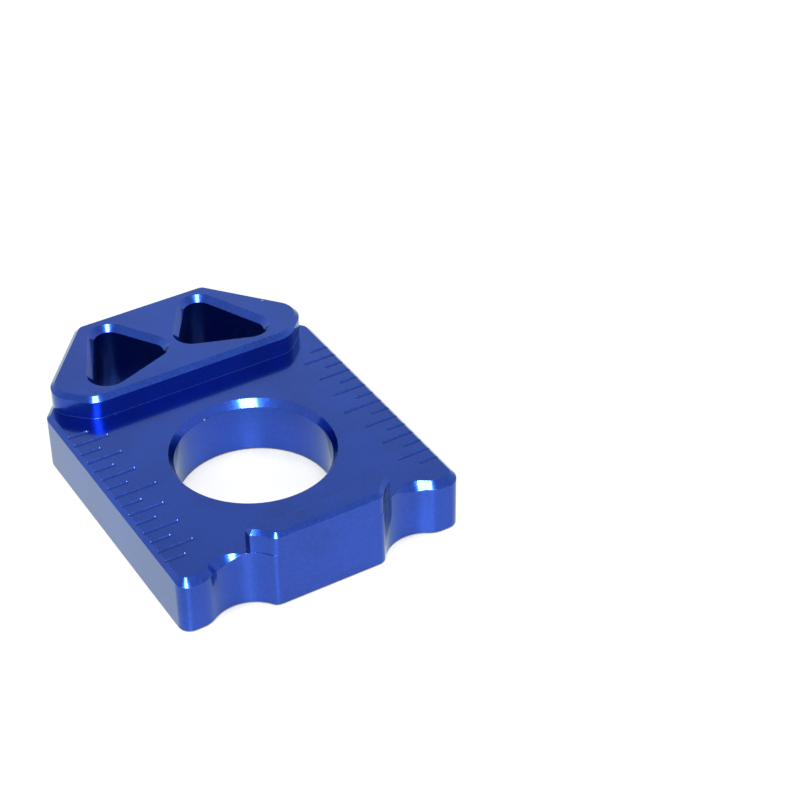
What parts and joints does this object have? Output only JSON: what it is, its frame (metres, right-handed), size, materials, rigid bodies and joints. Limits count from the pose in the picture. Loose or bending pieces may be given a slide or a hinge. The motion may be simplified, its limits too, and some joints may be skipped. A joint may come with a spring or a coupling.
{
  "type": "motorcycle chain adjuster",
  "caption": "Rear axle adjuster block: flat plate with a large axle bore, a raised tail with triangular lightening pockets, a raised nose bar and graduated edges, in blue anodised aluminium.",
  "frame": {"origin": "where the axle's centre line meets the plane of the underside", "axes": "+Z along the axle, away from the swingarm; +Y towards the tail with the pockets; the adjuster bolt's face looks along -Y"},
  "size_m": [0.049, 0.0655, 0.014],
  "materials": {
    "anodised_aluminium": "blue anodised, semi-gloss"
  },
  "bodies": {
    "root": {"axle_block": "anodised_aluminium"}
  },
  "joints": []
}
